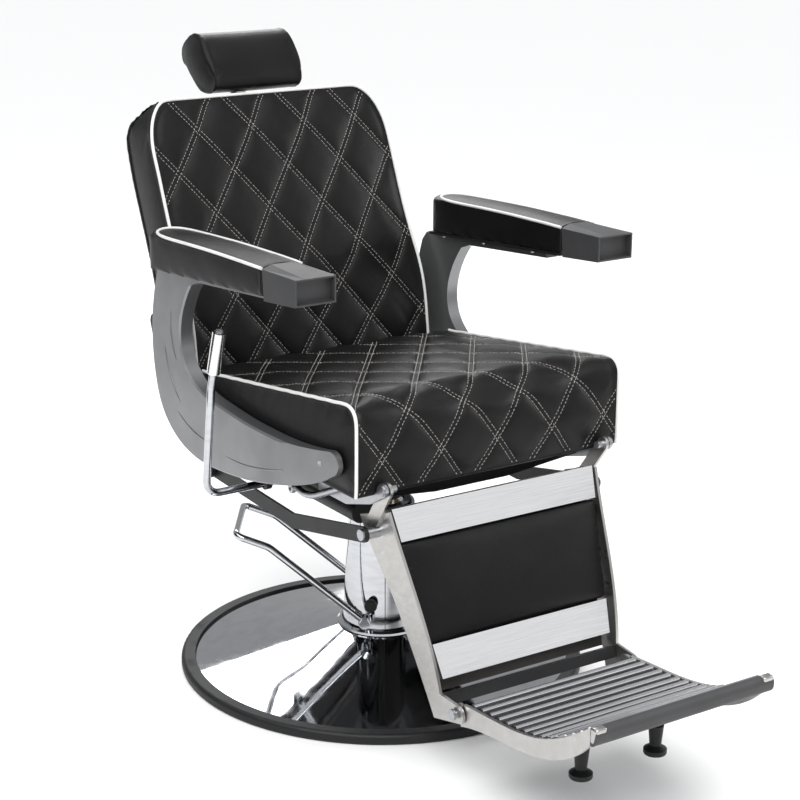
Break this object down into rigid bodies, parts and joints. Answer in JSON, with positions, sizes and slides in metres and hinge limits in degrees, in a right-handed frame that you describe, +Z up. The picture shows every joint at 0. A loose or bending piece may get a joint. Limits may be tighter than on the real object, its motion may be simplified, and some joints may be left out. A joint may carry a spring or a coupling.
{
  "type": "barber chair",
  "caption": "Hydraulic barber chair with round chrome base, quilted seat and reclining back, arm castings, hinged leg rest with ribbed footplate and adjustable headrest.",
  "frame": {"origin": "centre of the round base on the floor", "axes": "+Z up, -Y towards the sitter's feet, -X on the sitter's right, where the recline lever is"},
  "size_m": [0.706, 1.3225, 1.0467],
  "materials": {
    "mirror_chrome": "mirror-polished chrome plate",
    "brushed_trim": "fine brushed stainless sheet",
    "satin_casting": "satin cast aluminium",
    "leg_aluminium": "pale satin aluminium plate",
    "polished_aluminium": "polished aluminium",
    "black_rubber": "moulded black rubber",
    "black_leather": "black leatherette over foam, quilted with pale double stitching",
    "black_steel": "black powder coat",
    "cast_iron": "machined cast iron",
    "machined_steel": "zinc-plated machined steel",
    "bronze": "sintered bronze",
    "plywood": "birch plywood",
    "back_panel": "black leatherette over a plywood back panel",
    "cap_grey": "dark grey gloss moulding"
  },
  "bodies": {
    "base": {"base_ring": "black_rubber", "base_plate": "cast_iron", "base_dome": "mirror_chrome", "base_collar": "mirror_chrome", "base_bolts": "machined_steel", "pump_cylinder": "machined_steel", "pump_body": "cast_iron", "ram_bush": "bronze", "column_cover": "mirror_chrome", "pedal_bumpers": "black_rubber"},
    "pedal": {"pedal_loop": "mirror_chrome", "pedal_pins": "mirror_chrome"},
    "plunger": {"pump_plunger": "machined_steel"},
    "ram": {"ram": "mirror_chrome", "ram_head": "cast_iron"},
    "seat": {"swivel_hub": "cast_iron", "mount_plate": "black_steel", "seat_frame": "black_steel", "seat_board": "plywood", "seat_cushion": "black_leather", "front_brace": "black_steel", "arm_casting_left": "satin_casting", "arm_casting_right": "satin_casting", "casting_bolts": "machined_steel", "arm_plates": "black_steel", "arm_plate_screws": "machined_steel", "arm_pad_left": "black_leather", "arm_pad_right": "black_leather", "arm_caps": "cap_grey", "leg_brackets": "black_steel", "pivot_pins": "machined_steel", "recline_cylinder": "black_steel", "lever_bushes": "black_steel"},
    "backrest": {"back_cushion": "black_leather", "back_board": "back_panel", "back_arms": "black_steel", "link_shaft": "machined_steel", "headrest_socket": "machined_steel"},
    "headrest_post": {"headrest_post": "mirror_chrome"},
    "headrest": {"headrest_pad": "black_leather", "headrest_bracket": "mirror_chrome", "headrest_pin": "mirror_chrome"},
    "links": {"link_bars": "black_steel"},
    "legrest": {"leg_plate_left": "leg_aluminium", "leg_plate_right": "leg_aluminium", "leg_arms": "black_steel", "leg_board": "plywood", "leg_pad": "black_leather", "leg_strip_upper": "brushed_trim", "leg_strip_lower": "brushed_trim", "leg_cross_tubes": "black_steel", "leg_bolts": "machined_steel"},
    "footplate": {"foot_sides": "polished_aluminium", "foot_tray": "polished_aluminium", "foot_ribs": "polished_aluminium", "foot_nose": "polished_aluminium", "foot_bumpers": "black_rubber"},
    "lever": {"lever_rod": "mirror_chrome", "lever_grip": "brushed_trim"},
    "lock_rod": {"recline_rod": "mirror_chrome"}
  },
  "joints": [
    {"name": "pedal_press", "type": "hinge", "parent": "base", "child": "pedal", "pos_m": [-0.02222, 0.01533, 0.098], "axis": [-0.5678, -0.8231, 0], "range_deg": [0, 24], "stiffness_Nm_per_rad": 6, "springref_deg": -34.38},
    {"name": "plunger_stroke", "type": "slide", "parent": "base", "child": "plunger", "axis": [0, 0, 1], "range_m": [0, 0.0105]},
    {"name": "ram_lift", "type": "slide", "parent": "base", "child": "ram", "axis": [0, 0, 1], "range_m": [0, 0.15]},
    {"name": "seat_swivel", "type": "hinge", "parent": "ram", "child": "seat", "pos_m": [0, 0, 0.35], "axis": [0, 0, 1], "continuous": true},
    {"name": "recline", "type": "hinge", "parent": "seat", "child": "backrest", "pos_m": [0, 0.142, 0.417], "axis": [-1, 0, 0], "range_deg": [0, 45]},
    {"name": "legrest_lift", "type": "hinge", "parent": "seat", "child": "legrest", "pos_m": [0, -0.332, 0.448], "axis": [-1, 0, 0], "range_deg": [0, 45.5]},
    {"name": "link_turn", "type": "hinge", "parent": "backrest", "child": "links", "pos_m": [0, 0.181, 0.336], "axis": [1, 0, 0], "range_deg": [0, 45.5]},
    {"name": "lock_rod_slide", "type": "slide", "parent": "seat", "child": "lock_rod", "axis": [0, -1, 0], "range_m": [0, 0.07]},
    {"name": "headrest_height", "type": "slide", "parent": "backrest", "child": "headrest_post", "axis": [0, 0.4305, 0.9026], "range_m": [0, 0.08]},
    {"name": "headrest_tilt", "type": "hinge", "parent": "headrest_post", "child": "headrest", "pos_m": [0, 0.4945, 0.9533], "axis": [-1, 0, 0], "range_deg": [0, 30]},
    {"name": "footplate_fold", "type": "hinge", "parent": "legrest", "child": "footplate", "pos_m": [0, -0.467, 0.122], "axis": [-1, 0, 0], "range_deg": [0, 80]},
    {"name": "lever_pull", "type": "hinge", "parent": "seat", "child": "lever", "pos_m": [0, -0.006, 0.368], "axis": [-1, 0, 0], "range_deg": [0, 18], "stiffness_Nm_per_rad": 5, "springref_deg": -11.46}
  ],
  "couplings": [
    {"joint": "plunger_stroke", "follows": "pedal_press", "m_per_rad": 0.0233},
    {"joint": "legrest_lift", "follows": "recline", "ratio": 1},
    {"joint": "link_turn", "follows": "recline", "ratio": 1},
    {"joint": "lock_rod_slide", "follows": "recline", "m_per_rad": 0.08747}
  ]
}
